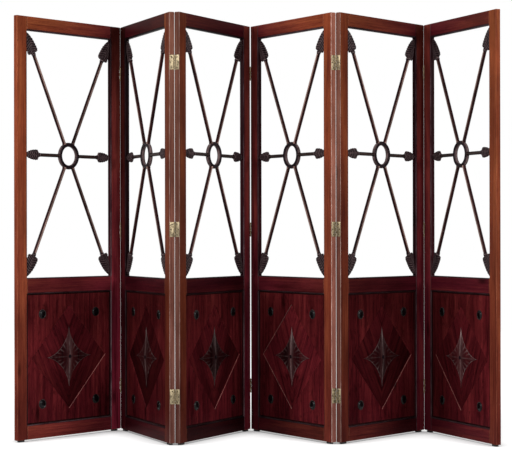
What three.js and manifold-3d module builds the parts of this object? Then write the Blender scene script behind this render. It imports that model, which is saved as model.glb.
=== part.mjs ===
import * as THREE from "three";
import { mergeVertices } from "three/addons/utils/BufferGeometryUtils.js";
import Module from "manifold-3d";

// Six-panel folding screen, in millimetres. +Z is up and the front faces -Y.
// Each panel is drawn in its own frame: X runs from its left edge to its right edge seen from the
// front, Y = 0 is the middle of its thickness, and Z = 0 is the floor.

// Whole screen
const PANEL_COUNT = 6;
const PANEL_WIDTH = 610;
const PANEL_THICKNESS = 22;
const SCREEN_HEIGHT = 1830;
const FIRST_HEADING = 53.6; // degrees from +X to panel 1's width
const REST_FOLD_ANGLES = [65.4, 53.1, 63.1, 74.7, 64.2]; // degrees between neighbours, as photographed

// Frame
const STILE_WIDTH = 57;
const TOP_RAIL_HEIGHT = 62;
const MIDDLE_RAIL_HEIGHT = 69;
const BOTTOM_RAIL_HEIGHT = 63;
const BOARD_BAY_HEIGHT = 564;
const ARRIS = 1.5;
const TENON_LENGTH = 25;
const TENON_SHOULDER = 8;
const SEAT_GAP = 0.3; // between pieces that touch in the real object

// Glides
const GLIDE_HEIGHT = 8;
const GLIDE_LENGTH = 28;
const GLIDE_MARGIN = 2; // from the panel's faces
const GLIDE_CORNER = 4;

// Recessed board and its ornament
const BOARD_THICKNESS = 9;
const BOARD_RECESS = 7;
const BOARD_GROOVE_DEPTH = 8;
const BEAD_WIDTH = 6;
const BEAD_HEIGHT = 3;
const RHOMBUS_SIDE_MARGIN = 28; // from the stiles
const RHOMBUS_END_MARGIN = 53; // from the rails
const RHOMBUS_DEPTH = 3.5; // its field's depth below the board's face
const RHOMBUS_WALL = 3; // width of the sloping wall round the field
const STAR_SPAN = 265;
const STAR_CONCAVITY = 0.62; // exponent of the curve between two points; 1 is straight
const STAR_CURVE_STEPS = 5;
const STAR_RISE = 10; // above the field
const STAR_EDGE_RISE = 1.5;
const STAR_BOSS_SCALE = 0.1;
const STUD_DIAMETER = 41;
const STUD_RISE = 6.5;
const STUD_RIM = 0.4; // share of the rise that is upright
const STUD_CROWN_SCALE = 0.55;
const STUD_SIDES = 12;
const STUD_INSET = 90; // from the stiles and the middle rail
const STUD_FOOT_INSET = 84; // from the bottom rail

// Arrow grille
const RING_RADIUS = 50;
const RING_SECTION_RADIUS = 9.2; // in the grille's plane
const RING_FACE_MARGIN = 0.4; // from the panel's faces
const RING_STEPS = 18;
const RING_SECTION_SIDES = 8;
const ROD_RADIUS = 7.7;
const ROD_SIDES = 6;
const COLLAR_RADIUS = 9.8;
const COLLAR_LENGTH = 9;
const COLLAR_SLOPE = 3;
const CORNER_HEAD_LENGTH = 98;
const CORNER_HEAD_WIDTH = 54;
const CORNER_TIP_GAP = 5;
const SIDE_HEAD_LENGTH = 70;
const SIDE_HEAD_WIDTH = 45;
const SIDE_TIP_GAP = 0.6;
const HEAD_THICKNESS = 14;
const HEAD_TIP_RADIUS = 2;
// Outlines of the heads from the rod to the tip, as shares of a head's length and half width
const FEATHER_OUTLINE = [[0.05, 0.86], [0.17, 1], [0.6, 0.91], [0.85, 0.57]];
const BUD_OUTLINE = [[0.02, 0.92], [0.12, 1], [0.52, 0.76], [0.8, 0.42]];

// Hinges
const HINGE_HEIGHT = 63;
const LOW_HINGE_HEIGHT = 205; // of its middle above the floor
const TOP_HINGE_DROP = 213; // of its middle below the screen's top
const LEAF_THICKNESS = 1.6;
const LEAF_MARGIN = 1.5; // bare wood beside the leaf
const KNUCKLE_COUNT = 5;
const KNUCKLE_RADIUS = 2.9;
const KNUCKLE_SIDES = 8;
const KNUCKLE_GAP = 0.3;
const PIN_RADIUS = 1.5;
const PIN_CLEARANCE = 0.06;
const PIVOT_STANDOFF = 1.5; // pin's axis beyond the panel's face
const PIVOT_EDGE_GAP = 1; // pin's axis beyond the panel's edge

// Sizes that follow
const HALF_T = PANEL_THICKNESS / 2;
const BOTTOM_RAIL_TOP = GLIDE_HEIGHT + BOTTOM_RAIL_HEIGHT;
const MIDDLE_RAIL_BOTTOM = BOTTOM_RAIL_TOP + BOARD_BAY_HEIGHT;
const MIDDLE_RAIL_TOP = MIDDLE_RAIL_BOTTOM + MIDDLE_RAIL_HEIGHT;
const TOP_RAIL_BOTTOM = SCREEN_HEIGHT - TOP_RAIL_HEIGHT;
const CENTRE_X = PANEL_WIDTH / 2;
const BAY_HALF_WIDTH = CENTRE_X - STILE_WIDTH;
const RAIL_HALF_LENGTH = BAY_HALF_WIDTH - SEAT_GAP;
const BOARD_FRONT = BOARD_RECESS - HALF_T;
const BOARD_BACK = BOARD_FRONT + BOARD_THICKNESS;
const BOARD_CENTRE_Z = (BOTTOM_RAIL_TOP + MIDDLE_RAIL_BOTTOM) / 2;
const GRILLE_CENTRE_Z = (MIDDLE_RAIL_TOP + TOP_RAIL_BOTTOM) / 2;
const BAY_HALF_HEIGHT = (TOP_RAIL_BOTTOM - MIDDLE_RAIL_TOP) / 2;
const TOP_HINGE_HEIGHT = SCREEN_HEIGHT - TOP_HINGE_DROP;
const HINGE_HEIGHTS = {
  low: LOW_HINGE_HEIGHT,
  mid: (LOW_HINGE_HEIGHT + TOP_HINGE_HEIGHT) / 2,
  top: TOP_HINGE_HEIGHT,
};
const LEAF_WIDTH = PIVOT_STANDOFF + PANEL_THICKNESS - LEAF_MARGIN; // from the pin's axis
const OVERLAP = 1; // how far merged shapes run into each other

// Colours
const STILE_COLOUR = 0x74341f;
const RAIL_COLOUR = 0x642619;
const LOWER_COLOUR = 0x47131a;
const GRILLE_COLOUR = 0x2c1c1c;
const BRASS_COLOUR = 0xb79a62;

const wasm = await Module();
wasm.setup();

function solid(geometry) {
  const bare = geometry.clone();
  bare.deleteAttribute("normal");
  bare.deleteAttribute("uv");
  const merged = mergeVertices(bare, 1e-4);
  const mesh = new wasm.Mesh({
    numProp: 3,
    vertProperties: new Float32Array(merged.attributes.position.array),
    triVerts: new Uint32Array(merged.index.array),
  });
  return new wasm.Manifold(mesh);
}

function joined(geometries) {
  return geometries.map(solid).reduce((whole, piece) => whole.add(piece));
}

function without(whole, geometries) {
  return geometries.map(solid).reduce((rest, piece) => rest.subtract(piece), whole);
}

function geometryOf(manifold) {
  const mesh = manifold.getMesh();
  const geometry = new THREE.BufferGeometry();
  geometry.setAttribute("position", new THREE.BufferAttribute(mesh.vertProperties, 3));
  geometry.setIndex(new THREE.BufferAttribute(mesh.triVerts, 1));
  return geometry;
}

// A box between two values on each axis, given in either order.
function box(xs, ys, zs) {
  const size = [xs, ys, zs].map(([a, b]) => Math.abs(b - a));
  const middle = [xs, ys, zs].map(([a, b]) => (a + b) / 2);
  return new THREE.BoxGeometry(...size).translate(...middle);
}

// A rectangle with its corners cut off.
function cutCornerShape(width, depth, corner) {
  const x = width / 2;
  const y = depth / 2;
  const shape = new THREE.Shape();
  shape.moveTo(-x + corner, -y);
  shape.lineTo(x - corner, -y);
  shape.lineTo(x, -y + corner);
  shape.lineTo(x, y - corner);
  shape.lineTo(x - corner, y);
  shape.lineTo(-x + corner, y);
  shape.lineTo(-x, y - corner);
  shape.lineTo(-x, -y + corner);
  return shape;
}

function sweep(shape, length) {
  return new THREE.ExtrudeGeometry(shape, { depth: length, bevelEnabled: false });
}

function uprightBar(centreX, width, depth, corner, zLow, zHigh) {
  return sweep(cutCornerShape(width, depth, corner), zHigh - zLow).translate(centreX, 0, zLow);
}

function levelBar(halfLength, zLow, zHigh) {
  const bar = sweep(cutCornerShape(zHigh - zLow, PANEL_THICKNESS, ARRIS), halfLength * 2);
  return bar.rotateY(Math.PI / 2).translate(CENTRE_X - halfLength, 0, (zLow + zHigh) / 2);
}

function uprightCylinder(radius, sides, zLow, zHigh) {
  const length = zHigh - zLow;
  const cylinder = new THREE.CylinderGeometry(radius, radius, length, sides);
  return cylinder.rotateX(Math.PI / 2).translate(0, 0, zLow + length / 2);
}

// A closed skin over rings of points. Each ring turns anticlockwise about the way the rings go.
function skin(rings) {
  const count = rings[0].length;
  const points = rings.flat();
  const faces = [];
  for (let ring = 0; ring + 1 < rings.length; ring += 1) {
    for (let k = 0; k < count; k += 1) {
      const here = ring * count;
      const next = (k + 1) % count;
      faces.push(here + k, here + next, here + count + next);
      faces.push(here + k, here + count + next, here + count + k);
    }
  }
  const ends = [rings[0], rings[rings.length - 1]];
  ends.forEach((ring, end) => {
    const middle = new THREE.Vector3();
    ring.forEach((point) => middle.add(point));
    points.push(middle.divideScalar(count));
    const hub = points.length - 1;
    const first = end * (rings.length - 1) * count;
    for (let k = 0; k < count; k += 1) {
      const pair = [first + k, first + ((k + 1) % count)];
      faces.push(hub, pair[1 - end], pair[end]);
    }
  });
  const geometry = new THREE.BufferGeometry().setFromPoints(points);
  geometry.setIndex(faces);
  return geometry;
}

// An ornament that stands out of the board towards -Y. The outline is centred on the origin, and
// each level gives the Y reached and the outline's scale there.
function relief(outline, levels, centreX, centreZ) {
  const rings = levels.map(([y, scale]) =>
    outline.map(([x, z]) => new THREE.Vector3(centreX + x * scale, y, centreZ + z * scale)),
  );
  return skin(rings);
}

// What is cut from the board in front of the sunken field, with walls that slope in.
function sunkenRhombus(field) {
  const x = BAY_HALF_WIDTH - RHOMBUS_SIDE_MARGIN;
  const z = BOARD_BAY_HEIGHT / 2 - RHOMBUS_END_MARGIN;
  const outline = [[x, 0], [0, z], [-x, 0], [0, -z]];
  const fieldScale = 1 - (RHOMBUS_WALL * Math.hypot(x, z)) / (x * z);
  const mouthScale = 1 + ((1 - fieldScale) * OVERLAP) / RHOMBUS_DEPTH;
  const levels = [[field, fieldScale], [BOARD_FRONT - OVERLAP, mouthScale]];
  return relief(outline, levels, CENTRE_X, BOARD_CENTRE_Z);
}

function starOutline() {
  const reach = STAR_SPAN / 2;
  const outline = [];
  for (let quarter = 0; quarter < 4; quarter += 1) {
    const turn = (quarter * Math.PI) / 2;
    for (let k = 0; k < STAR_CURVE_STEPS; k += 1) {
      const t = ((k / STAR_CURVE_STEPS) * Math.PI) / 2;
      const x = reach * Math.cos(t) ** (2 / STAR_CONCAVITY);
      const z = reach * Math.sin(t) ** (2 / STAR_CONCAVITY);
      const c = Math.cos(turn);
      const s = Math.sin(turn);
      outline.push([x * c - z * s, x * s + z * c]);
    }
  }
  return outline;
}

function roundOutline(radius, sides) {
  return Array.from({ length: sides }, (_, k) => {
    const angle = (k / sides) * 2 * Math.PI;
    return [radius * Math.cos(angle), radius * Math.sin(angle)];
  });
}

// The tenons and tongue on one end of the lower unit, or, grown by a clearance, their mortises.
function lowerTongues(side, grow) {
  const ys = [BOARD_FRONT - grow, BOARD_BACK + grow];
  const reach = (length) => {
    const outer = CENTRE_X + side * (BAY_HALF_WIDTH + length + grow);
    return [CENTRE_X + side * (RAIL_HALF_LENGTH - OVERLAP), outer];
  };
  const tenon = (low, high) =>
    box(reach(TENON_LENGTH), ys, [low + TENON_SHOULDER - grow, high - TENON_SHOULDER + grow]);
  return [
    tenon(GLIDE_HEIGHT, BOTTOM_RAIL_TOP),
    tenon(MIDDLE_RAIL_BOTTOM, MIDDLE_RAIL_TOP),
    box(reach(BOARD_GROOVE_DEPTH), ys, [
      BOTTOM_RAIL_TOP - TENON_SHOULDER - OVERLAP,
      MIDDLE_RAIL_BOTTOM + TENON_SHOULDER + OVERLAP,
    ]),
  ];
}

function topTenon(side, grow) {
  const outer = CENTRE_X + side * (BAY_HALF_WIDTH + TENON_LENGTH + grow);
  return box(
    [CENTRE_X + side * (RAIL_HALF_LENGTH - OVERLAP), outer],
    [BOARD_FRONT - grow, BOARD_BACK + grow],
    [TOP_RAIL_BOTTOM + TENON_SHOULDER - grow, SCREEN_HEIGHT - TENON_SHOULDER + grow],
  );
}

// The panel's face that a joint's pins are at, as its side of Y = 0. Odd joints are folded about the
// front faces and even joints about the back faces.
function pivotFace(joint) {
  return joint % 2 === 1 ? -1 : 1;
}

// What is cut from a stile's outer edge to let the hinge leaves in.
function hingeSeats(side, joint) {
  const face = pivotFace(joint);
  const pivotX = CENTRE_X + side * (CENTRE_X + PIVOT_EDGE_GAP);
  const pivotY = face * (HALF_T + PIVOT_STANDOFF);
  return Object.values(HINGE_HEIGHTS).map((height) => box(
    [pivotX, pivotX - side * (KNUCKLE_RADIUS + SEAT_GAP)],
    [pivotY, pivotY - face * (LEAF_WIDTH + SEAT_GAP)],
    [height - HINGE_HEIGHT / 2 - SEAT_GAP, height + HINGE_HEIGHT / 2 + SEAT_GAP],
  ));
}

function stile(side, panel) {
  const joint = side < 0 ? panel - 1 : panel;
  const hinged = joint > 0 && joint < PANEL_COUNT;
  const middle = CENTRE_X + side * (CENTRE_X - STILE_WIDTH / 2);
  const glideTop = GLIDE_HEIGHT + OVERLAP;
  const bar = uprightBar(
    middle, STILE_WIDTH, PANEL_THICKNESS, ARRIS, GLIDE_HEIGHT, SCREEN_HEIGHT,
  );
  const glideDepth = PANEL_THICKNESS - GLIDE_MARGIN * 2;
  const glide = uprightBar(middle, GLIDE_LENGTH, glideDepth, GLIDE_CORNER, 0, glideTop);
  return without(joined([bar, glide]), [
    ...lowerTongues(side, SEAT_GAP),
    topTenon(side, SEAT_GAP),
    ...(hinged ? hingeSeats(side, joint) : []),
  ]);
}

function topRail() {
  const bar = levelBar(RAIL_HALF_LENGTH, TOP_RAIL_BOTTOM, SCREEN_HEIGHT);
  return joined([bar, topTenon(-1, 0), topTenon(1, 0)]);
}

function beadFrame() {
  const ys = [BOARD_FRONT + OVERLAP, BOARD_FRONT - BEAD_HEIGHT];
  const x = RAIL_HALF_LENGTH;
  const inner = x - BEAD_WIDTH;
  const zs = [BOTTOM_RAIL_TOP - OVERLAP, MIDDLE_RAIL_BOTTOM + OVERLAP];
  return [
    box([CENTRE_X - x, CENTRE_X - inner], ys, zs),
    box([CENTRE_X + inner, CENTRE_X + x], ys, zs),
    box([CENTRE_X - x, CENTRE_X + x], ys, [zs[0], BOTTOM_RAIL_TOP + BEAD_WIDTH]),
    box([CENTRE_X - x, CENTRE_X + x], ys, [MIDDLE_RAIL_BOTTOM - BEAD_WIDTH, zs[1]]),
  ];
}

// Middle rail, bottom rail, board with its sunken rhombus, star and studs.
function lowerUnit() {
  const field = BOARD_FRONT + RHOMBUS_DEPTH;
  const studFront = BOARD_FRONT - STUD_RISE;
  const pieces = [
    levelBar(RAIL_HALF_LENGTH, GLIDE_HEIGHT, BOTTOM_RAIL_TOP),
    levelBar(RAIL_HALF_LENGTH, MIDDLE_RAIL_BOTTOM, MIDDLE_RAIL_TOP),
    box(
      [CENTRE_X - RAIL_HALF_LENGTH, CENTRE_X + RAIL_HALF_LENGTH],
      [BOARD_FRONT, BOARD_BACK],
      [BOTTOM_RAIL_TOP - TENON_SHOULDER, MIDDLE_RAIL_BOTTOM + TENON_SHOULDER],
    ),
    ...beadFrame(),
    ...lowerTongues(-1, 0),
    ...lowerTongues(1, 0),
  ];
  const starLevels = [
    [field + OVERLAP, 1],
    [field - STAR_EDGE_RISE, 1],
    [field - STAR_RISE, STAR_BOSS_SCALE],
  ];
  const studLevels = [
    [BOARD_FRONT + OVERLAP, 1],
    [BOARD_FRONT - STUD_RISE * STUD_RIM, 1],
    [studFront, STUD_CROWN_SCALE],
  ];
  const stud = roundOutline(STUD_DIAMETER / 2, STUD_SIDES);
  const studX = BAY_HALF_WIDTH - STUD_INSET;
  for (const side of [-1, 1]) {
    for (const z of [BOTTOM_RAIL_TOP + STUD_FOOT_INSET, MIDDLE_RAIL_BOTTOM - STUD_INSET]) {
      pieces.push(relief(stud, studLevels, CENTRE_X + side * studX, z));
    }
  }
  const star = relief(starOutline(), starLevels, CENTRE_X, BOARD_CENTRE_Z);
  return without(joined(pieces), [sunkenRhombus(field)]).add(solid(star));
}

// An arrow from the ring outwards. Stations give the distance from the ring's centre, the half
// width in the grille's plane and the half thickness across it.
function arrow(angle, tip, headLength, headWidth, outline) {
  const headBase = tip - headLength;
  const half = headWidth / 2;
  const thick = HEAD_THICKNESS / 2;
  const collar = headBase - COLLAR_LENGTH;
  const stations = [
    [RING_RADIUS, ROD_RADIUS, ROD_RADIUS],
    [collar - COLLAR_SLOPE, ROD_RADIUS, ROD_RADIUS],
    [collar, COLLAR_RADIUS, COLLAR_RADIUS],
    [headBase - COLLAR_SLOPE, COLLAR_RADIUS, COLLAR_RADIUS],
    [headBase, ROD_RADIUS, ROD_RADIUS],
    ...outline.map(([at, width]) => [headBase + headLength * at, half * width, thick]),
    [tip, HEAD_TIP_RADIUS, HEAD_TIP_RADIUS],
  ];
  const along = new THREE.Vector3(Math.cos(angle), 0, Math.sin(angle));
  const across = new THREE.Vector3(-Math.sin(angle), 0, Math.cos(angle));
  const outward = new THREE.Vector3(0, -1, 0);
  const rings = stations.map(([distance, width, thickness]) =>
    Array.from({ length: ROD_SIDES }, (_, k) => {
      const turn = (k / ROD_SIDES) * 2 * Math.PI;
      return new THREE.Vector3(CENTRE_X, 0, GRILLE_CENTRE_Z)
        .addScaledVector(along, distance)
        .addScaledVector(across, width * Math.cos(turn))
        .addScaledVector(outward, thickness * Math.sin(turn));
    }),
  );
  return skin(rings);
}

// Ring, four corner arrows and two side arrows. The corner heads are trimmed along the stiles.
function grille() {
  const ring = new THREE.TorusGeometry(
    RING_RADIUS, RING_SECTION_RADIUS, RING_SECTION_SIDES, RING_STEPS,
  );
  ring.scale(1, 1, (HALF_T - RING_FACE_MARGIN) / RING_SECTION_RADIUS);
  ring.rotateX(Math.PI / 2).translate(CENTRE_X, 0, GRILLE_CENTRE_Z);
  const pieces = [ring];
  const slope = Math.atan2(BAY_HALF_HEIGHT, BAY_HALF_WIDTH);
  const cornerTip = Math.hypot(BAY_HALF_HEIGHT, BAY_HALF_WIDTH) - CORNER_TIP_GAP;
  for (const angle of [slope, Math.PI - slope, Math.PI + slope, -slope]) {
    pieces.push(
      arrow(angle, cornerTip, CORNER_HEAD_LENGTH, CORNER_HEAD_WIDTH, FEATHER_OUTLINE),
    );
  }
  const sideTip = BAY_HALF_WIDTH - SIDE_TIP_GAP;
  for (const angle of [0, Math.PI]) {
    pieces.push(arrow(angle, sideTip, SIDE_HEAD_LENGTH, SIDE_HEAD_WIDTH, BUD_OUTLINE));
  }
  const stiles = [-1, 1].map((side) => box(
    [CENTRE_X + side * (BAY_HALF_WIDTH - SEAT_GAP), CENTRE_X + side * CENTRE_X],
    [-HALF_T, HALF_T],
    [MIDDLE_RAIL_TOP, TOP_RAIL_BOTTOM],
  ));
  return without(joined(pieces), stiles);
}

// One leaf about the pin's axis. toWood is the way to the leaf's stile along X, and inward is the
// way from the axis into the panel's thickness along Y. The left panel's leaf carries the pin.
function leaf(toWood, inward, carriesPin) {
  const low = -HINGE_HEIGHT / 2;
  const step = HINGE_HEIGHT / KNUCKLE_COUNT;
  const xs = [toWood * (KNUCKLE_RADIUS - LEAF_THICKNESS), toWood * KNUCKLE_RADIUS];
  const plateStart = inward * (KNUCKLE_RADIUS + KNUCKLE_GAP);
  const pieces = [box(xs, [plateStart, inward * LEAF_WIDTH], [low, -low])];
  for (let k = carriesPin ? 0 : 1; k < KNUCKLE_COUNT; k += 2) {
    const start = low + k * step + (k > 0 ? KNUCKLE_GAP / 2 : 0);
    const end = low + (k + 1) * step - (k < KNUCKLE_COUNT - 1 ? KNUCKLE_GAP / 2 : 0);
    pieces.push(uprightCylinder(KNUCKLE_RADIUS, KNUCKLE_SIDES, start, end));
    pieces.push(box(xs, [0, plateStart + inward * OVERLAP], [start, end]));
  }
  if (carriesPin) {
    pieces.push(uprightCylinder(PIN_RADIUS, KNUCKLE_SIDES, low, -low));
    return joined(pieces);
  }
  const boreRadius = (PIN_RADIUS + PIN_CLEARANCE) / Math.cos(Math.PI / KNUCKLE_SIDES);
  return without(joined(pieces), [uprightCylinder(boreRadius, KNUCKLE_SIDES, low, -low)]);
}

// The pin's axis of a joint in the frame of the panel to its left or to its right.
function pivotInPanel(joint, onRightEdge) {
  const x = onRightEdge ? PANEL_WIDTH + PIVOT_EDGE_GAP : -PIVOT_EDGE_GAP;
  return new THREE.Vector3(x, pivotFace(joint) * (HALF_T + PIVOT_STANDOFF), 0);
}

function panelMatrices() {
  const matrices = [];
  let heading = FIRST_HEADING;
  let origin = new THREE.Vector3();
  for (let panel = 1; panel <= PANEL_COUNT; panel += 1) {
    const turn = new THREE.Matrix4().makeRotationZ(THREE.MathUtils.degToRad(heading));
    if (panel > 1) {
      const pivot = pivotInPanel(panel - 1, true).applyMatrix4(matrices[panel - 2]);
      origin = pivot.sub(pivotInPanel(panel - 1, false).applyMatrix4(turn));
    }
    matrices.push(turn.clone().setPosition(origin));
    if (panel < PANEL_COUNT) {
      const bend = 180 - REST_FOLD_ANGLES[panel - 1];
      heading += panel % 2 === 1 ? -bend : bend;
    }
  }
  return matrices;
}

const screen = new THREE.Group();
screen.name = "folding_screen";

function place(name, manifold, matrix, colour, roughness, metalness) {
  const geometry = geometryOf(manifold).applyMatrix4(matrix);
  const material = new THREE.MeshStandardMaterial({ color: colour, roughness, metalness });
  const mesh = new THREE.Mesh(geometry, material);
  mesh.name = name;
  screen.add(mesh);
}

const matrices = panelMatrices();
const topRailSolid = topRail();
const lowerSolid = lowerUnit();
const grilleSolid = grille();

matrices.forEach((matrix, index) => {
  const panel = index + 1;
  const prefix = `panel${panel}`;
  place(`${prefix}_stile_left`, stile(-1, panel), matrix, STILE_COLOUR, 0.4, 0);
  place(`${prefix}_stile_right`, stile(1, panel), matrix, STILE_COLOUR, 0.4, 0);
  place(`${prefix}_top_rail`, topRailSolid, matrix, RAIL_COLOUR, 0.4, 0);
  place(`${prefix}_lower_unit`, lowerSolid, matrix, LOWER_COLOUR, 0.45, 0);
  place(`${prefix}_arrow_grille`, grilleSolid, matrix, GRILLE_COLOUR, 0.35, 0);
});

for (let joint = 1; joint < PANEL_COUNT; joint += 1) {
  const inward = -pivotFace(joint);
  const leftLeaf = leaf(-1, inward, true);
  const rightLeaf = leaf(1, inward, false);
  Object.entries(HINGE_HEIGHTS).forEach(([level, height]) => {
    const name = `hinge${joint}${joint + 1}_${level}`;
    const sides = [
      ["left_leaf", leftLeaf, true, matrices[joint - 1]],
      ["right_leaf", rightLeaf, false, matrices[joint]],
    ];
    for (const [leafName, manifold, onRightEdge, matrix] of sides) {
      const pivot = pivotInPanel(joint, onRightEdge).setZ(height);
      const placed = matrix.clone().multiply(new THREE.Matrix4().setPosition(pivot));
      place(`${name}_${leafName}`, manifold, placed, BRASS_COLOUR, 0.35, 1);
    }
  });
}

// The row's origin is below the middle of the folded screen, on the floor.
const bounds = new THREE.Box3().setFromObject(screen);
const middle = bounds.getCenter(new THREE.Vector3());
screen.children.forEach((mesh) => mesh.geometry.translate(-middle.x, -middle.y, 0));

export default screen;
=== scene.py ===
import math
import random

import bmesh
import bpy
from mathutils import Matrix, Vector


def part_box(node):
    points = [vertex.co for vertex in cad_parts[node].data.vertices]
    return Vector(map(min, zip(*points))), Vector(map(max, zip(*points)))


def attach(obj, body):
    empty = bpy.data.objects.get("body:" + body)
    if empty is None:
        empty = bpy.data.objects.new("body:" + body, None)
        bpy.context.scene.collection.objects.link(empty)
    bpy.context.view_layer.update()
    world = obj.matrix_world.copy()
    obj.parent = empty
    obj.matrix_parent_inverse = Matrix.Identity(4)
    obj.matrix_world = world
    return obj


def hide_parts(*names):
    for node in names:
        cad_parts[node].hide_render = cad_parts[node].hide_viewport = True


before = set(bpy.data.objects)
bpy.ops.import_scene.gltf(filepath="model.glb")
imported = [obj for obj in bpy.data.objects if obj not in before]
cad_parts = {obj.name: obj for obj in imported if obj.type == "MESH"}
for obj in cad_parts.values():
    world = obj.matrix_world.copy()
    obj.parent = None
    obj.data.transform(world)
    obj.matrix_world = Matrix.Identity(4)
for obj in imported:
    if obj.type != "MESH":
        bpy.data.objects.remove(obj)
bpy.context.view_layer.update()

# Lengths are in millimetres in a panel's own frame: X from its left edge seen from the front,
# Y from the middle of its thickness with the front at -Y, Z from the floor.
MM = 0.001
PANELS, JOINTS = range(1, 7), range(1, 6)
WIDTH, HALF_T, HEIGHT = 610, 11, 1830
STILE = 57
GLIDE_TOP = 8
BOTTOM_RAIL_TOP, MIDDLE_RAIL_BOTTOM, MIDDLE_RAIL_TOP, TOP_RAIL_BOTTOM = 71, 635, 704, 1768
CX = WIDTH / 2
BAY_X = CX - STILE
BOARD_Z, BOARD_HALF = 353, 282
GRILLE_Z, GRILLE_HALF = 1236, 532
SEAT = 0.3

# Radii of the arrises: in general, round the bays and under the top rail. A valley is a fold that
# opens to the front and has its pins in front, and a ridge has them behind: beside the pins, there
# in a valley with a narrow gap, and on a valley's other side.
ARRIS, INNER_ARRIS, HEAD_ARRIS = 2.2, 5, 7.5
PIN_ARRIS, CLOSE_ARRIS, VALLEY_ARRIS = 0.6, 0.25, 4.2

# The photograph shows narrower gaps between stiles than the solids leave. At a joint in LIPS the
# arris beside the pins stands out of the stile's face by this much more, and out of its edge by
# LIP_OUT. In a valley the whole edge stands out by VALLEY_REACH.
LIPS = {1: 1.4, 2: 1.15, 4: 1.15, 5: 1.4}
LIP_OUT, VALLEY_REACH = 0.95, 0.8

# The hinges' seats in a stile's edge, the height in which a stile's section changes, and where its
# rounded ends are past.
SEAT_DEPTH, SEAT_HALF, SEAT_END = 2.2, 31.8, 9.75
SLIT, PAST_END = 0.05, 3

# The board has rows of points, so that its tone can change with the height.
BOARD_FRONT, BOARD_BACK, FIELD = -4, 5, -0.5
BOARD_ROWS = range(90, 630, 20)
RHOMBUS_X, RHOMBUS_Z = 220, 229
STAR_REACH, STAR_POWER, STAR_RISE, STAR_EDGE, BOSS_RISE = 132.5, 2 / 0.62, 10, 1.5, 2.6
FLUTES, FLUTE_DEPTH = 24, 0.8
STUD_X, STUD_LOW, STUD_HIGH, STUD_RADIUS = 158, 155, 545, 20.5
RING, RING_WIDE, RING_DEEP, ROD, SWELL, COLLAR = 50, 9.2, 10.6, 7.7, 0.15, 9.8
SHAFT, SHAFT_TAPER, SHAFT_END, VANE_EDGE, VANE_CROWN, RIB_RISE = 6.6, 0.35, 0.93, 1.0, 2.6, 2.6
HINGE_HEIGHTS = {"low": 205, "mid": 911, "top": 1617}
HINGE_HALF, KNUCKLE, KNUCKLE_GAP, BORE, LEAF, LEAF_REACH = 31.5, 2.9, 0.15, 1.57, 1.6, 22
PIVOT_X, PIVOT_Y = 1, 12.5
SCREWS = ((-22, 11.0), (0, 17.2), (22, 11.0))

chance = random.Random(11)


# ---------------------------------------------------------------- meshes

def turned(axis):
    """Turns (across, across, along) into X, Y, Z, for a bar along that axis."""
    return {"x": lambda u, v, w: (w, u, v), "z": lambda u, v, w: (u, v, w)}[axis]


class Shape:
    """A mesh under construction, with the wear and painted sheen of each point and the material of
    each face.
    """

    def __init__(self):
        self.bm = bmesh.new()
        self.wear_and_sheen = self.bm.verts.layers.float.new("wear_and_sheen")

    def point(self, co, wear_and_sheen=0.0):
        vert = self.bm.verts.new(Vector(co) * MM)
        vert[self.wear_and_sheen] = wear_and_sheen
        return vert

    def face(self, verts, slot=0):
        self.bm.faces.new(verts).material_index = slot

    def loft(self, rings, slot=0, closed=False):
        """Skins rings of points, each point (x, y, z) or (x, y, z, wear and painted sheen), and
        caps the ends.
        """
        rows = [[self.point(p[:3], p[3] if len(p) > 3 else 0.0) for p in ring] for ring in rings]
        pairs = list(zip(rows, rows[1:])) + ([(rows[-1], rows[0])] if closed else [])
        for a, b in pairs:
            for k in range(len(a)):
                n = (k + 1) % len(a)
                self.face((a[k], a[n], b[n], b[k]), slot)
        if not closed:
            self.face(rows[0][::-1], slot)
            self.face(rows[-1], slot)

    def bar(self, axis, xs, ys, zs, r=ARRIS, steps=4, radii=None, stations=()):
        """A bar along x or z with arrises rounded by r, or by radii anticlockwise from its far
        right one, and ends rounded by r. Each of stations is a place along it and a move of its
        section there."""
        us, vs, (start, end) = {"x": (ys, zs, xs), "z": (xs, ys, zs)}[axis]
        (cu, hu), (cv, hv) = [((a + b) / 2, (b - a) / 2) for a, b in (us, vs)]
        place = turned(axis)

        def ring(w, inset=0.0, end_wear_and_sheen=0.0, move=None):
            points = []
            corners = [max(radius - inset, 0.02) for radius in radii or [r] * 4]
            for u, v, worn_and_sheen in section(hu - inset, hv - inset, corners, steps):
                at = move(cu + u, cv + v) if move else (cu + u, cv + v)
                points.append((*place(*at, w), max(worn_and_sheen, end_wear_and_sheen)))
            return points

        turns = [math.pi / 2 * k / steps for k in range(steps + 1)]
        ends = [(r * (1 - math.cos(a)), r * (1 - math.sin(a)), math.sin(2 * a)) for a in turns]
        rings = [ring(start + deep, inset, worn_and_sheen) for deep, inset, worn_and_sheen in ends]
        rings += [ring(w, move=move) for w, move in stations]
        rings += [ring(end - deep, inset, worn_and_sheen) for deep, inset, worn_and_sheen in reversed(ends)]
        self.loft(rings)

    def lathe(self, profile, origin, axis, sides=24, across=None, slot=0, closed=False):
        """Turns a profile of (distance, radius) points round an axis."""
        axis = Vector(axis).normalized()
        u = Vector(across) if across else axis.orthogonal().normalized()
        v = axis.cross(u)
        rings = []
        for d, r in profile:
            ring = []
            for k in range(sides):
                a = 2 * math.pi * k / sides
                ring.append(
                    Vector(origin) + axis * d + u * (r * math.cos(a)) + v * (r * math.sin(a))
                )
            rings.append(ring)
        self.loft(rings, slot, closed=closed)

    def mesh(self, name, sharp=38):
        bmesh.ops.recalc_face_normals(self.bm, faces=self.bm.faces)
        mesh = bpy.data.meshes.new(name)
        self.bm.to_mesh(mesh)
        self.bm.free()
        mesh.polygons.foreach_set("use_smooth", [True] * len(mesh.polygons))
        mesh.set_sharp_from_angle(angle=math.radians(sharp))
        return mesh


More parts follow.
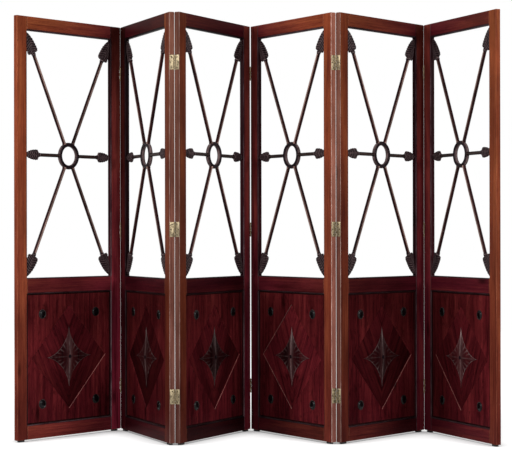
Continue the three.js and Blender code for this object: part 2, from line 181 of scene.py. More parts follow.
def section(hu, hv, radii, steps):
    """A rectangle with rounded corners, as (u, v, mark) points; the mark, greatest in the middle of
    each arris, is for wear and a painted highlight.
    """
    points = []
    corners = ((1, 1, 0), (-1, 1, 90), (-1, -1, 180), (1, -1, 270))
    for (su, sv, start), r in zip(corners, radii):
        for k in range(steps + 1):
            a = math.radians(start + 90 * k / steps)
            worn_and_sheen = math.sin(math.pi * k / steps)
            points.append((su * (hu - r) + r * math.cos(a), sv * (hv - r) + r * math.sin(a), worn_and_sheen))
    return points


def smooth(low, high, x):
    t = min(max((x - low) / (high - low), 0), 1)
    return t * t * (3 - 2 * t)


# ---------------------------------------------------------------- placing

def panel_matrix(number):
    middles = []
    for side in ("left", "right"):
        low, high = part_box(f"panel{number}_stile_{side}")
        middles.append((low + high) / 2)
    along = (middles[1] - middles[0]).to_2d().normalized()
    x = Vector((along.x, along.y, 0))
    origin = middles[0].to_2d() - along * (STILE / 2 * MM)
    matrix = Matrix((x, Vector((0, 0, 1)).cross(x), Vector((0, 0, 1)))).transposed().to_4x4()
    matrix.translation = (origin.x, origin.y, 0)
    return matrix


MATRICES = {number: panel_matrix(number) for number in PANELS}


def grain_along(axis):
    """Object coordinates as (across, across, along the grain)."""
    return {"x": lambda p: (p.z, p.y, p.x), "z": lambda p: (p.x, p.y, p.z)}[axis]


def piece(name, shape, panel, materials, node, grain="z", tone=1.0, warm=0.0, sharp=38,
          weighted=False):
    """Puts a finished shape on its panel, with the attributes that its material reads. tone and
    warm are numbers, or give one for each point."""
    mesh = shape.mesh(name, sharp)
    for material in materials:
        mesh.materials.append(material)
    where = grain if callable(grain) else grain_along(grain)
    shift = Vector([chance.uniform(-40, 40) for _ in range(3)])
    grains, tones, warms = [], [], []
    for vert in mesh.vertices:
        grains.extend(Vector(where(vert.co)) + shift)
        tones.append(tone(vert.co) if callable(tone) else tone)
        warms.append(warm(vert.co) if callable(warm) else warm)
    mesh.attributes.new("grain", "FLOAT_VECTOR", "POINT").data.foreach_set("vector", grains)
    mesh.attributes.new("tone", "FLOAT", "POINT").data.foreach_set("value", tones)
    mesh.attributes.new("warm", "FLOAT", "POINT").data.foreach_set("value", warms)
    mesh.transform(MATRICES[panel])
    obj = bpy.data.objects.new(name, mesh)
    bpy.context.scene.collection.objects.link(obj)
    if weighted:
        obj.modifiers.new("weighted", "WEIGHTED_NORMAL").keep_sharp = True
    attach(obj, f"panel_{panel}")
    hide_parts(node)
    return obj


# ---------------------------------------------------------------- materials

def linear(hex_colour):
    """The linear RGBA of a display colour such as 0x804020."""
    out = []
    for shift in (16, 8, 0):
        c = ((hex_colour >> shift) & 255) / 255
        out.append(c / 12.92 if c <= 0.04045 else ((c + 0.055) / 1.055) ** 2.4)
    return (*out, 1.0)


def new_material(name):
    material = bpy.data.materials.new(name)
    material.use_nodes = True
    tree = material.node_tree
    tree.nodes.clear()
    shader = tree.nodes.new("ShaderNodeBsdfPrincipled")
    out = tree.nodes.new("ShaderNodeOutputMaterial")
    tree.links.new(shader.outputs[0], out.inputs[0])
    return material, tree, shader


def put(tree, socket, value):
    if isinstance(value, bpy.types.NodeSocket):
        tree.links.new(value, socket)
    else:
        socket.default_value = value


def attribute(tree, name, output="Fac"):
    node = tree.nodes.new("ShaderNodeAttribute")
    node.attribute_name = name
    return node.outputs[output]


def maths(tree, operation, a, b, c=None, clamp=False):
    node = tree.nodes.new("ShaderNodeMath")
    node.operation = operation
    node.use_clamp = clamp
    put(tree, node.inputs[0], a)
    put(tree, node.inputs[1], b)
    if c is not None:
        put(tree, node.inputs[2], c)
    return node.outputs[0]


def stretched(tree, vector, scale):
    node = tree.nodes.new("ShaderNodeVectorMath")
    node.operation = "MULTIPLY"
    put(tree, node.inputs[0], vector)
    node.inputs[1].default_value = scale
    return node.outputs[0]


def texture(tree, kind, vector, **settings):
    """A texture node, with its settings by the names of its sockets."""
    node = tree.nodes.new(kind)
    put(tree, node.inputs["Vector"], vector)
    for name, value in settings.items():
        node.inputs[name.replace("_", " ")].default_value = value
    return node


def noise(tree, vector, scale, detail, roughness, distortion=0.0):
    """Noise of that scale across, across and along the grain."""
    node = texture(
        tree, "ShaderNodeTexNoise", stretched(tree, vector, scale),
        Scale=1.0, Detail=detail, Roughness=roughness, Distortion=distortion,
    )
    return node.outputs["Fac"]


def knot_distance(tree, vector):
    """The distance to the nearest of a few scattered knots, in their own size."""
    place = stretched(tree, vector, (8, 8, 2.4))
    return texture(tree, "ShaderNodeTexVoronoi", place, Scale=1.0).outputs["Distance"]


def figured_lines(tree, vector):
    """The wavy lines of figured wood, from -0.5 to 0.5."""
    node = texture(
        tree, "ShaderNodeTexWave", stretched(tree, vector, (9, 9, 1.6)),
        Scale=1.0, Distortion=9.0, Detail=3.0, Detail_Scale=1.2,
    )
    node.wave_type = "BANDS"
    return maths(tree, "SUBTRACT", node.outputs["Fac"], 0.5)


def ramp(tree, fac, stops):
    node = tree.nodes.new("ShaderNodeValToRGB")
    put(tree, node.inputs[0], fac)
    elements = node.color_ramp.elements
    while len(elements) < len(stops):
        elements.new(0.5)
    for element, (at, colour) in zip(elements, stops):
        element.position = at
        element.color = colour
    return node.outputs[0]


def grey(value):
    return value, value, value, 1.0


def grey_ramp(tree, fac, stops):
    return ramp(tree, fac, [(at, grey(value)) for at, value in stops])


def blend(tree, fac, a, b, kind="MIX"):
    node = tree.nodes.new("ShaderNodeMix")
    node.data_type = "RGBA"
    node.blend_type = kind
    put(tree, node.inputs["Factor"], fac)
    put(tree, node.inputs[6], a)
    put(tree, node.inputs[7], b)
    return node.outputs[2]


def darkened(tree, colour, fac, *stops):
    """The colour times a grey that follows fac, by stops of (place, grey)."""
    return blend(tree, 1.0, colour, grey_ramp(tree, fac, stops), "MULTIPLY")


def with_wear_and_sheen(tree, colour, worn_and_sheen, wear_and_sheen, pattern, *stops):
    """The colour with the pale one in patches of the pattern, as far as each point's mark for wear
    and painted sheen goes.
    """
    amount = maths(tree, "MULTIPLY", attribute(tree, "wear_and_sheen"), wear_and_sheen)
    patches = grey_ramp(tree, pattern, stops)
    return blend(tree, maths(tree, "MULTIPLY", amount, patches, clamp=True), colour, worn_and_sheen)


def set_colour(tree, shader, colour):
    """Gives the shader the colour, scaled by the attribute tone."""
    toned = tree.nodes.new("ShaderNodeVectorMath")
    toned.operation = "SCALE"
    put(tree, toned.inputs[0], colour)
    put(tree, toned.inputs["Scale"], attribute(tree, "tone"))
    put(tree, shader.inputs["Base Color"], toned.outputs[0])


def bump(tree, shader, height, strength, distance):
    node = tree.nodes.new("ShaderNodeBump")
    node.inputs["Strength"].default_value = strength
    node.inputs["Distance"].default_value = distance
    put(tree, node.inputs["Height"], height)
    tree.links.new(node.outputs[0], shader.inputs["Normal"])


def wood(name, cool, warm, worn_and_sheen, roughness=0.42, specular=0.015, figure=0.0, wear_and_sheen=0.6):
    """Stained and lacquered mahogany: soft bands, streaks, pores, and paler arrises that are partly
    wear and partly painted highlight.
    cool and warm are each a dark, a middle and a light colour, mixed by the attribute warm."""
    material, tree, shader = new_material(name)
    grain = attribute(tree, "grain", "Vector")
    bands = noise(tree, grain, (13, 13, 1.3), 3, 0.55, 1.0)
    streaks = noise(tree, grain, (150, 150, 3.2), 5, 0.68, 0.3)
    fine = noise(tree, grain, (620, 620, 14), 3, 0.6)
    pores = noise(tree, grain, (1500, 1500, 34), 1, 0.5)
    value = maths(tree, "MULTIPLY", bands, 0.46)
    value = maths(tree, "MULTIPLY_ADD", streaks, 0.44, value)
    value = maths(tree, "MULTIPLY_ADD", fine, 0.10, value)
    if figure:
        value = maths(tree, "MULTIPLY_ADD", figured_lines(tree, grain), figure, value)
    places = (0.36, 0.5, 0.64)
    colour = blend(
        tree, attribute(tree, "warm"), ramp(tree, value, list(zip(places, cool))),
        ramp(tree, value, list(zip(places, warm))),
    )
    colour = darkened(tree, colour, pores, (0.33, 0.55), (0.42, 1.0))
    if figure:
        flames = noise(tree, grain, (34, 34, 8), 4, 0.62, 3.2)
        colour = darkened(tree, colour, flames, (0.3, 0.42), (0.5, 1.0))
    mottled = noise(tree, grain, (9, 9, 3.4), 2, 0.5)
    colour = darkened(tree, colour, mottled, (0.36, 0.68), (0.64, 1.0))
    colour = darkened(tree, colour, knot_distance(tree, grain), (0.05, 0.3), (0.13, 1.0))
    patches = noise(tree, grain, (60, 60, 9), 4, 0.7)
    colour = with_wear_and_sheen(tree, colour, worn_and_sheen, wear_and_sheen, patches, (0.38, 0.15), (0.62, 1.0))
    set_colour(tree, shader, colour)
    rough = maths(tree, "MULTIPLY_ADD", streaks, 0.22, roughness - 0.11)
    rough = maths(tree, "MULTIPLY_ADD", bands, 0.14, maths(tree, "SUBTRACT", rough, 0.07))
    put(tree, shader.inputs["Roughness"], rough)
    shader.inputs["Specular IOR Level"].default_value = specular
    relief = maths(tree, "MULTIPLY_ADD", pores, 0.5, maths(tree, "MULTIPLY", fine, 0.5))
    bump(tree, shader, relief, 0.25, 0.0004)
    return material


def dark_finish(name, deep, pale, worn_and_sheen, roughness, specular, scale=30, wear_and_sheen=0.5):
    """Near-black stain, paler in patches where points are marked: worn high spots, and painted
    highlights and glints.
    """
    material, tree, shader = new_material(name)
    grain = attribute(tree, "grain", "Vector")
    clouds = noise(tree, grain, (scale, scale, scale / 3), 4, 0.6, 0.4)
    fine = noise(tree, grain, (500, 500, 60), 4, 0.7)
    value = maths(tree, "MULTIPLY_ADD", fine, 0.35, maths(tree, "MULTIPLY", clouds, 0.65))
    colour = ramp(tree, value, [(0.36, deep), (0.64, pale)])
    colour = with_wear_and_sheen(tree, colour, worn_and_sheen, wear_and_sheen, clouds, (0.35, 0.3), (0.6, 1.0))
    set_colour(tree, shader, colour)
    rough = maths(tree, "MULTIPLY_ADD", value, 0.3, roughness - 0.15)
    put(tree, shader.inputs["Roughness"], rough)
    shader.inputs["Specular IOR Level"].default_value = specular
    bump(tree, shader, fine, 0.2, 0.0004)
    return material


def brass(name, bright, dull, roughness):
    """Lacquered brass with duller, browner patches and bright arrises."""
    material, tree, shader = new_material(name)
    grain = attribute(tree, "grain", "Vector")
    clouds = noise(tree, grain, (160, 160, 120), 4, 0.66, 0.6)
    brushed = noise(tree, grain, (900, 900, 60), 3, 0.6)
    value = maths(tree, "MULTIPLY_ADD", brushed, 0.3, maths(tree, "MULTIPLY", clouds, 0.7))
    colour = ramp(tree, value, [(0.36, dull), (0.58, bright)])
    bared = maths(tree, "MULTIPLY", attribute(tree, "wear_and_sheen"), 0.6)
    put(tree, shader.inputs["Base Color"], blend(tree, bared, colour, bright))
    shader.inputs["Metallic"].default_value = 1.0
    rough = maths(tree, "MULTIPLY_ADD", value, -0.3, roughness + 0.15)
    put(tree, shader.inputs["Roughness"], rough)
    bump(tree, shader, brushed, 0.15, 0.0003)
    return material


def shades(*hex_colours):
    return [linear(colour) for colour in hex_colours]


# BURGUNDY and ORANGE, and DEEP_RED and RED, are mixed by each point's warmth, which carries painted
# warm light as well as stain.
BURGUNDY = shades(0x340911, 0x531521, 0x6C2628)
ORANGE = shades(0x64271B, 0x884228, 0xA45B36)
DEEP_RED = shades(0x28070B, 0x4C121A, 0x641E22)
RED = shades(0x3C0E12, 0x64201F, 0x803430)
# The pale colour of arrises, partly wear and partly painted highlight.
WEAR_AND_SHEEN_COLOUR = linear(0x9A6048)

STILE_WOOD = wood("stile_wood", BURGUNDY, ORANGE, WEAR_AND_SHEEN_COLOUR)
RAIL_WOOD = wood("rail_wood", BURGUNDY, ORANGE, WEAR_AND_SHEEN_COLOUR)
BOARD_WOOD = wood("board_wood", DEEP_RED, RED, WEAR_AND_SHEEN_COLOUR, figure=0.05)
FIELD_WOOD = wood("field_wood", DEEP_RED, RED, WEAR_AND_SHEEN_COLOUR, figure=0.05)
# Painted shade: near-black wood for the faces and eased arrises round the openings, with a faint
# painted highlight line where the arrises are marked.
SHADED_REVEAL_WOOD = wood(
    "shaded_reveal_wood", shades(0x120609, 0x220B10, 0x341418), shades(0x16080A, 0x2A0F10, 0x3C1A1A),
    linear(0x5A484C), roughness=0.3, specular=0.012,
)
# Painted sheen: pale wood for a ridge stile's outer edge, with a paler painted highlight along its
# arris.
RIDGE_SHEEN_WOOD = wood(
    "ridge_sheen_wood", shades(0x5A302E, 0x7E4C46, 0x986660), shades(0x6A3A30, 0x8E5848, 0xA87462),
    linear(0xD0B4AA), wear_and_sheen=0.9,
)
# Painted highlight: pale, glossier wood for the ledges of the rhombus's wall that face the light.
LIT_LEDGE_WOOD = wood(
    "lit_ledge_wood", shades(0x5A2C2A, 0x84524C, 0xA87A70), RED, linear(0xC8A89A), roughness=0.3,
    specular=0.2,
)
# The star's pale marks are painted highlights.
STAR_WOOD = wood(
    "star_wood", shades(0x1A0709, 0x320F12, 0x4A1D1D), RED, linear(0xA89290), roughness=0.32,
    specular=0.02, wear_and_sheen=0.72,
)
# Painted shade: near-black for the beads, which lie in the shadowed recess round the board.
BEAD_SHADE_WOOD = wood("bead_shade_wood", shades(0x0A0304, 0x1A0709, 0x2A1012), RED, linear(0x5A4440))
# Its pale colour is a painted highlight line.
ROD_WOOD = dark_finish(
    "rod_wood", *shades(0x140506, 0x2C1110, 0xC8A498), roughness=0.34, specular=0.04, wear_and_sheen=1.0
)
# Its pale, fine-grained patches are painted glints on the marked crests and rims, and wear on high
# spots.
CARVED_WOOD = dark_finish(
    "carved_wood", *shades(0x0C0507, 0x1E1118, 0xA08684), roughness=0.34, specular=0.04, scale=110,
    wear_and_sheen=0.42,
)
# Its pale colour makes the rim's painted highlight.
STUD_BLACK = dark_finish(
    "stud_black", *shades(0x040404, 0x0C0A0B, 0x4A4442), roughness=0.22, specular=0.12
)
GLIDE_BLACK = dark_finish(
    "glide_black", *shades(0x0C0B0B, 0x1C1A19, 0x3A3634), roughness=0.5, specular=0.3
)
HINGE_BRASS = brass("hinge_brass", *shades(0x94866C, 0x352C20), roughness=0.46)
SCREW_BRASS = brass("screw_brass", *shades(0x5A5040, 0x221C14), roughness=0.42)


# ---------------------------------------------------------------- pieces of a panel

# Each panel's tone: its stain together with painted light and shade, which differ from panel to
# panel and between a panel's ridge and valley sides. STILE_TONES are for left and right; the table
# after them says how much a stile in a valley darkens in a metre upwards, painted shade higher up
# and painted light lower down. RAIL_TONES go from the top down.
STILE_TONES = {
    1: (1.1, 2.0), 2: (0.54, 0.63), 3: (0.52, 1.55), 4: (0.84, 1.08), 5: (0.63, 1.12), 6: (1.2, 0.9)
}
VALLEY_SHADE_SLOPES = {1: 0.85, 2: 0.7, 3: 0.33, 4: 0.0, 5: 0.65, 6: 0.0}
RAIL_TONES = {
    1: (1.05, 1.12, 1.4), 2: (0.38, 0.5, 0.5), 3: (0.4, 0.32, 0.24), 4: (1.35, 1.02, 0.6),
    5: (0.66, 0.5, 0.62), 6: (0.79, 0.91, 0.97),
}
RAIL_WARMTHS = {1: 1.0, 2: 0.3, 3: 0.2, 4: 1.0, 5: 0.8, 6: 0.3}
# BOARD_TOPS are the share of a board's tone that is left at its top, BOARD_LEANS how much it
# brightens to the right, and FIELD_RISES how much a field brightens in a metre upwards.
BOARD_TONES = {1: 1.25, 2: 0.78, 3: 1.0, 4: 1.05, 5: 0.85, 6: 1.02}
BOARD_TOPS = {1: 0.8, 2: 0.62, 3: 0.58, 4: 0.92, 5: 0.58, 6: 0.92}
BOARD_LEANS = {1: 0.05, 2: -0.25, 3: 0.18, 4: 0.12, 5: 0.05, 6: 0.28}
FIELD_TONES = {1: 0.95, 2: 0.34, 3: 0.72, 4: 1.5, 5: 0.54, 6: 0.92}
FIELD_RISES = {1: 2.2, 2: 0.9, 3: 0.9, 4: 0.9, 5: 0.9, 6: 0.9}
STAR_TONES = {1: 1.1, 2: 0.6, 3: 0.45, 4: 1.2, 5: 0.8, 6: 1.6}
# The rhombus's sides whose ledge takes the painted highlight, from 0 at the upper right and on
# anticlockwise.
LIT_LEDGE_SIDES = {1: (3,), 2: (), 3: (3,), 4: (1, 2), 5: (3,), 6: (2,)}
# A stile's warmth at 0.9 m, and how much it rises in a metre upwards: painted warm light, more on
# ridges and higher up.
RIDGE_WARMTH, VALLEY_WARMTH = (0.75, 0.45), (0.1, 0.25)
# How much a rail's warmth changes from its middle to its ends, warmer towards the ridge: painted
# light and shade.
WARMTH_LEAN = 0.8


def lively(tone):
    return tone * chance.uniform(0.95, 1.05)


def stile_shape(p, side):
    """A stile with its inner arrises eased between the rails, and with the hinges' seats let into
    its outer edge. Beside the pins its arris may stand out as a lip (see LIPS)."""
    joint = p if side == "right" else p - 1
    right = side == "right"
    edge, out = (WIDTH, 1) if right else (0, -1)
    inner = edge - out * STILE
    hinged = joint in JOINTS
    valley = hinged and joint % 2 == 1
    ridge = hinged and not valley
    pin_face = -1 if valley else 1
    lip = LIPS.get(joint, 0)
    reach = VALLEY_REACH if valley and lip else 0

    def eased(x, y):
        """A point of the section between the rails."""
        face = math.copysign(HALF_T, y)
        if lip and y * pin_face > HALF_T - ARRIS and abs(x - edge) < ARRIS + reach:
            return x + out * (LIP_OUT - reach), y + pin_face * lip
        if abs(x - inner) > ARRIS + SLIT:
            return x, y
        scale = INNER_ARRIS / ARRIS
        return inner + (x - inner) * scale, face + (y - face) * scale

    def seated(x, y):
        """The same in a hinge's seat."""
        in_seat = y * pin_face > -SEAT_END and abs(x - edge) < VALLEY_ARRIS + reach
        return (edge - out * SEAT_DEPTH, y) if in_seat else eased(x, y)

    def closed(x, y):
        """The same beside a rail, where the inner arrises are small."""
        return (x, y) if abs(x - inner) < ARRIS + SLIT else eased(x, y)

    stations = [(GLIDE_TOP + PAST_END, closed), (HEIGHT - PAST_END, closed)]
    for low, high in ((BOTTOM_RAIL_TOP, MIDDLE_RAIL_BOTTOM), (MIDDLE_RAIL_TOP, TOP_RAIL_BOTTOM)):
        stations += [(low, closed), (low + SLIT, eased), (high - SLIT, eased), (high, closed)]
    for z in HINGE_HEIGHTS.values() if hinged else ():
        low, high = z - SEAT_HALF, z + SEAT_HALF
        stations += [(low - SLIT, eased), (low, seated), (high, seated), (high + SLIT, eased)]
    stations.sort(key=lambda station: station[0])
    front, back = ARRIS, PIN_ARRIS if ridge else ARRIS
    if valley:
        front, back = CLOSE_ARRIS if lip else PIN_ARRIS, VALLEY_ARRIS
    radii = (back, ARRIS, ARRIS, front) if right else (ARRIS, back, front, ARRIS)
    shape = Shape()
    shape.bar("z", sorted((edge + out * reach, inner)), (-HALF_T, HALF_T), (GLIDE_TOP, HEIGHT),
              radii=radii, stations=stations)
    # Faces by the inner edge take the near-black painted shade; on a ridge the outer edge takes the
    # pale painted sheen.
    for face in shape.bm.faces:
        x = face.calc_center_median().x / MM
        if abs(x - inner) < INNER_ARRIS:
            face.material_index = 1
        elif ridge and abs(x - edge) < ARRIS:
            face.material_index = 2
    return shape


def make_frame(p):
    lower = f"panel{p}_lower_unit"
    for side, x0 in (("left", 0), ("right", WIDTH - STILE)):
        node = f"panel{p}_stile_{side}"
        ridge = (side == "left") == bool(p % 2)
        warmth, rise = RIDGE_WARMTH if ridge else VALLEY_WARMTH
        valley_shade = 0 if ridge else VALLEY_SHADE_SLOPES[p]

        def painted_warmth(q, warmth=warmth, rise=rise):
            return warmth + rise * (q.z - 0.9)

        def toned(q, tone=lively(STILE_TONES[p][side == "right"]), valley_shade=valley_shade):
            return tone * (1 + valley_shade * (0.8 - q.z))

        piece(f"panel{p}_stile_{side}_wood", stile_shape(p, side), p,
              [STILE_WOOD, SHADED_REVEAL_WOOD, RIDGE_SHEEN_WOOD], node, tone=toned, warm=painted_warmth,
              weighted=True)
        middle = x0 + STILE / 2
        shape = Shape()
        shape.bar("z", (middle - 14, middle + 14), (-9, 9), (0, GLIDE_TOP + 0.2), r=2.5)
        piece(f"panel{p}_glide_{side}", shape, p, [GLIDE_BLACK], node, weighted=True)

    # Each rail: name, foot, top, node, slot, warmth, radii of its upper and lower arrises.
    rails = (
        ("top_rail_wood", TOP_RAIL_BOTTOM, HEIGHT, f"panel{p}_top_rail", "rail_wood", 0.6,
         ARRIS, HEAD_ARRIS),
        ("middle_rail", MIDDLE_RAIL_BOTTOM, MIDDLE_RAIL_TOP, lower, "lower_wood", 0.1,
         INNER_ARRIS, INNER_ARRIS),
        ("bottom_rail", GLIDE_TOP, BOTTOM_RAIL_TOP, lower, "lower_wood", 0.2,
         INNER_ARRIS, ARRIS),
    )
    # The rails' warmths, highest on the top rail, are painted warm light from above.
    for (name, z0, z1, node, slot, warm, top, foot), tone in zip(rails, RAIL_TONES[p]):
        shape = Shape()
        shape.bar("x", (STILE + SEAT, WIDTH - STILE - SEAT), (-HALF_T, HALF_T), (z0, z1),
                  radii=(top, top, foot, foot))
        # Faces towards the openings take the near-black painted shade.
        for face in shape.bm.faces:
            z = face.calc_center_median().z / MM
            if (z > z1 - top and top > ARRIS) or (z < z0 + foot and foot > ARRIS):
                face.material_index = 1

        def rail_warmth(q, warm=warm * RAIL_WARMTHS[p]):
            lean = -WARMTH_LEAN if p % 2 else WARMTH_LEAN
            return warm * (1 + lean * (q.x / MM - CX) / BAY_X)

        piece(f"panel{p}_{name}", shape, p, [RAIL_WOOD, SHADED_REVEAL_WOOD], node, grain="x",
              tone=lively(tone), warm=rail_warmth, weighted=True)


def rhombus(scale, y):
    x, z = RHOMBUS_X * scale, RHOMBUS_Z * scale
    return [(CX + dx * x, y, BOARD_Z + dz * z) for dx, dz in ((1, 0), (0, 1), (-1, 0), (0, -1))]


def grown(distance):
    """The rhombus's scale when its sides move out by a distance."""
    return 1 + distance * math.hypot(RHOMBUS_X, RHOMBUS_Z) / (RHOMBUS_X * RHOMBUS_Z)


def make_board(p):
    lower = f"panel{p}_lower_unit"
    shape = Shape()
    hx, hz = BAY_X - SEAT, BOARD_HALF - SEAT
    around = [(1, 0), (1, 1), (0, 1), (-1, 1), (-1, 0), (-1, -1), (0, -1), (1, -1)]
    front, back = [
        [shape.point((CX + a * hx, y, BOARD_Z + b * hz)) for a, b in around]
        for y in (BOARD_FRONT, BOARD_BACK)
    ]
    # The rhombus's moulded wall, as moves out from its line and places in depth.
    wall = (
        (0.9, -4), (0.45, -3.85), (0.1, -3.4), (-1.4, -1.9), (-2.7, -0.8), (-3.0, -0.4), (-3.0, 0.9)
    )
    ledge = 2
    rows = [[shape.point(q) for q in rhombus(grown(distance), y)] for distance, y in wall]
    for k in range(4):
        n = (k + 1) % 4
        outside = (front[2 * k], front[2 * k + 1], front[(2 * k + 2) % 8])
        shape.face((*outside, rows[0][n], rows[0][k]))
        for step, (a, b) in enumerate(zip(rows, rows[1:])):
            shape.face((a[k], a[n], b[n], b[k]), int(k in LIT_LEDGE_SIDES[p] and step == ledge))
    shape.face(rows[-1])
    for k in range(8):
        n = (k + 1) % 8
        shape.face((front[k], back[k], back[n], front[n]))
    shape.face(back)
    for z in BOARD_ROWS:
        geometry = shape.bm.verts[:] + shape.bm.edges[:] + shape.bm.faces[:]
        bmesh.ops.bisect_plane(
            shape.bm, geom=geometry, plane_co=(0, 0, z * MM), plane_no=(0, 0, 1)
        )

    def board_tone(q, tone=lively(BOARD_TONES[p])):
        """A little lighter at 0.36 m, with the top's own share from 0.6 m up."""
        lit = 1.02 + 0.14 * math.exp(-((q.z - 0.36) / 0.1) ** 2)
        lit *= 1 + BOARD_LEANS[p] * (q.x / MM - CX) / BAY_X
        return tone * lit * (1 + (BOARD_TOPS[p] - 1) * smooth(0.42, 0.6, q.z))

    # Its warmth rises upwards: painted warm light.
    piece(f"panel{p}_board", shape, p, [BOARD_WOOD, LIT_LEDGE_WOOD], lower,
          tone=board_tone, warm=lambda q: 0.6 * q.z + 0.1, sharp=25)

    shape = Shape()
    rows = [[shape.point(q) for q in rhombus(grown(-3.1), y)] for y in (FIELD, 0.85)]
    for row in rows:
        shape.face((row[3], row[0], row[1]))
        shape.face((row[1], row[2], row[3]))
    for k in range(4):
        n = (k + 1) % 4
        shape.face((rows[0][k], rows[0][n], rows[1][n], rows[1][k]))
    lean = math.radians(chance.uniform(20, 34))

    def fanned(q):
        """Grain that leans to both sides from the middle."""
        across, up = abs(q.x - CX * MM), q.z - BOARD_Z * MM
        return (
            across * math.cos(lean) - up * math.sin(lean), q.y,
            across * math.sin(lean) + up * math.cos(lean),
        )

    def field_tone(q, tone=lively(FIELD_TONES[p])):
        return tone * (1 + FIELD_RISES[p] * (q.z - BOARD_Z * MM))

    piece(f"panel{p}_field", shape, p, [FIELD_WOOD], lower, grain=fanned,
          tone=field_tone, warm=0.2)

    for name, base, way in (("bead_front", BOARD_FRONT, -1), ("bead_back", BOARD_BACK, 1)):
        shape = Shape()
        profile = (
            (0.15, -0.05), (0.15, 2.7), (0.7, 3.0), (2.2, 2.9), (3.6, 2.4), (4.8, 1.5), (5.6, 0.5),
            (5.8, -0.05),
        )
        # Points on the bead's crest are marked for a faint painted highlight.
        rings = []
        for sx, sz in ((1, 1), (-1, 1), (-1, -1), (1, -1)):
            rings.append([
                (CX + sx * (hx - d), base + way * h, BOARD_Z + sz * (hz - d), 0.2 if h > 2 else 0)
                for d, h in profile
            ])
        shape.loft(rings, closed=True)
        piece(f"panel{p}_{name}", shape, p, [BEAD_SHADE_WOOD], lower, sharp=50)


def make_star(p):
    shape = Shape()
    quarter, rounds = 48, 18
    outline = []
    for c, s in ((1, 0), (0, 1), (-1, 0), (0, -1)):
        for k in range(quarter):
            t = k / quarter * math.pi / 2
            x = STAR_REACH * math.cos(t) ** STAR_POWER
            z = STAR_REACH * math.sin(t) ** STAR_POWER
            outline.append((x * c - z * s, x * s + z * c, t))
    rings = [
        [(CX + x, y, BOARD_Z + z) for x, z, _ in outline] for y in (FIELD + 0.25, FIELD - 0.9)
    ]
    for r in range(rounds):
        s = 1 - r / rounds
        ring = []
        for x, z, t in outline:
            spread = math.sin(2 * t) ** 0.7
            flute = abs(math.sin(t * FLUTES)) * spread * smooth(0.06, 0.3, s) * (0.5 + 0.5 * s)
            rise = STAR_EDGE + (STAR_RISE - BOSS_RISE) * (1 - s) ** 0.8
            rise += FLUTE_DEPTH * (flute - 0.5 * spread)
            # Paler marks, all painted highlights: a line and a broader sheen down the vertical
            # ridge, brighter upwards, a faint line across, the flutes' crests and the outline.
            ridge = 0.4 * math.exp(-((x * s / 3) ** 2)) + 0.22 * math.exp(-((x * s / 16) ** 2))
            level = 0.15 * math.exp(-((z * s / 2.5) ** 2))
            worn_and_sheen = max(smooth(0.7, 1, flute) * 0.35, ridge * (1 + z * s / 300), level,
                       0.5 if r == 0 else 0)
            ring.append((CX + x * s, FIELD - rise, BOARD_Z + z * s, worn_and_sheen))
        rings.append(ring)
    shape.loft(rings)
    boss = (
        (4.0, 8.5), (8.3, 8.3), (8.9, 7.6), (8.7, 6.8), (8.2, 6.2), (8.9, 5.6), (9.6, 3.8),
        (10, 1.2),
    )
    shape.lathe(boss, (CX, FIELD, BOARD_Z), (0, -1, 0), 24, slot=1)
    piece(f"panel{p}_star", shape, p, [STAR_WOOD, CARVED_WOOD], f"panel{p}_lower_unit",
          tone=lively(STAR_TONES[p]), sharp=60)


def make_studs(p):
    shares = (
        (-0.3, 0.995), (1.0, 1.0), (1.9, 0.98), (2.3, 0.93), (2.2, 0.89), (1.5, 0.85), (1.3, 0.81),
        (2.2, 0.785), (3.4, 0.715), (4.5, 0.61), (5.4, 0.475), (6.0, 0.315), (6.35, 0.16),
        (6.45, 0.04),
    )
    profile = [(out, STUD_RADIUS * share) for out, share in shares]
    for i, (sx, z) in enumerate(((-1, STUD_HIGH), (1, STUD_HIGH), (-1, STUD_LOW), (1, STUD_LOW))):
        shape = Shape()
        origin = (CX + sx * STUD_X, BOARD_FRONT, z)
        shape.lathe(profile, origin, (0, -1, 0), 40)
        # The rim is marked all round for a painted highlight.
        for vert in shape.bm.verts:
            out = math.hypot(vert.co.x / MM - origin[0], vert.co.z / MM - origin[2])
            rim_highlight = 0.88 < out / STUD_RADIUS < 0.99
            vert[shape.wear_and_sheen] = 1.0 if rim_highlight else 0.0
        piece(f"panel{p}_stud_{i + 1}", shape, p, [STUD_BLACK], f"panel{p}_lower_unit",
              sharp=60)


def make_ring(p):
    shape = Shape()
    around, about = 56, 20
    rings = []
    for k in range(around):
        a = 2 * math.pi * k / around
        ring = []
        for j in range(about):
            b = 2 * math.pi * j / about
            groove = 1 - 0.07 * math.exp(-((abs(math.sin(b)) - 1) / 0.06) ** 2)
            r = RING + RING_WIDE * groove * math.cos(b)
            y = RING_DEEP * groove * math.sin(b)
            # Paler at the ring's inner and outer rims: painted highlights.
            worn_and_sheen = abs(math.cos(b)) ** 6
            ring.append((CX + r * math.cos(a), y, GRILLE_Z + r * math.sin(a), worn_and_sheen))
        rings.append(ring)
    shape.loft(rings, closed=True)
    piece(f"panel{p}_ring", shape, p, [CARVED_WOOD], f"panel{p}_arrow_grille",
          sharp=60)


# Outlines are shares of a head's length and of its half width.
CORNER_HEAD = {
    "length": 98, "half": 27, "ribs": 9, "slope": 0.55,
    "outline": (
        (0, 0.85), (0.02, 1.05), (0.06, 1.12), (0.16, 1.12), (0.4, 0.99), (0.6, 0.82),
        (0.82, 0.48), (1.0, 0.06),
    ),
}
SIDE_HEAD = {
    "length": 70, "half": 22.5, "ribs": 6, "slope": 0.6,
    "outline": (
        (0, 0.5), (0.02, 0.9), (0.1, 1.04), (0.3, 1.02), (0.52, 0.93), (0.74, 0.74),
        (0.9, 0.46), (1.0, 0.14),
    ),
}


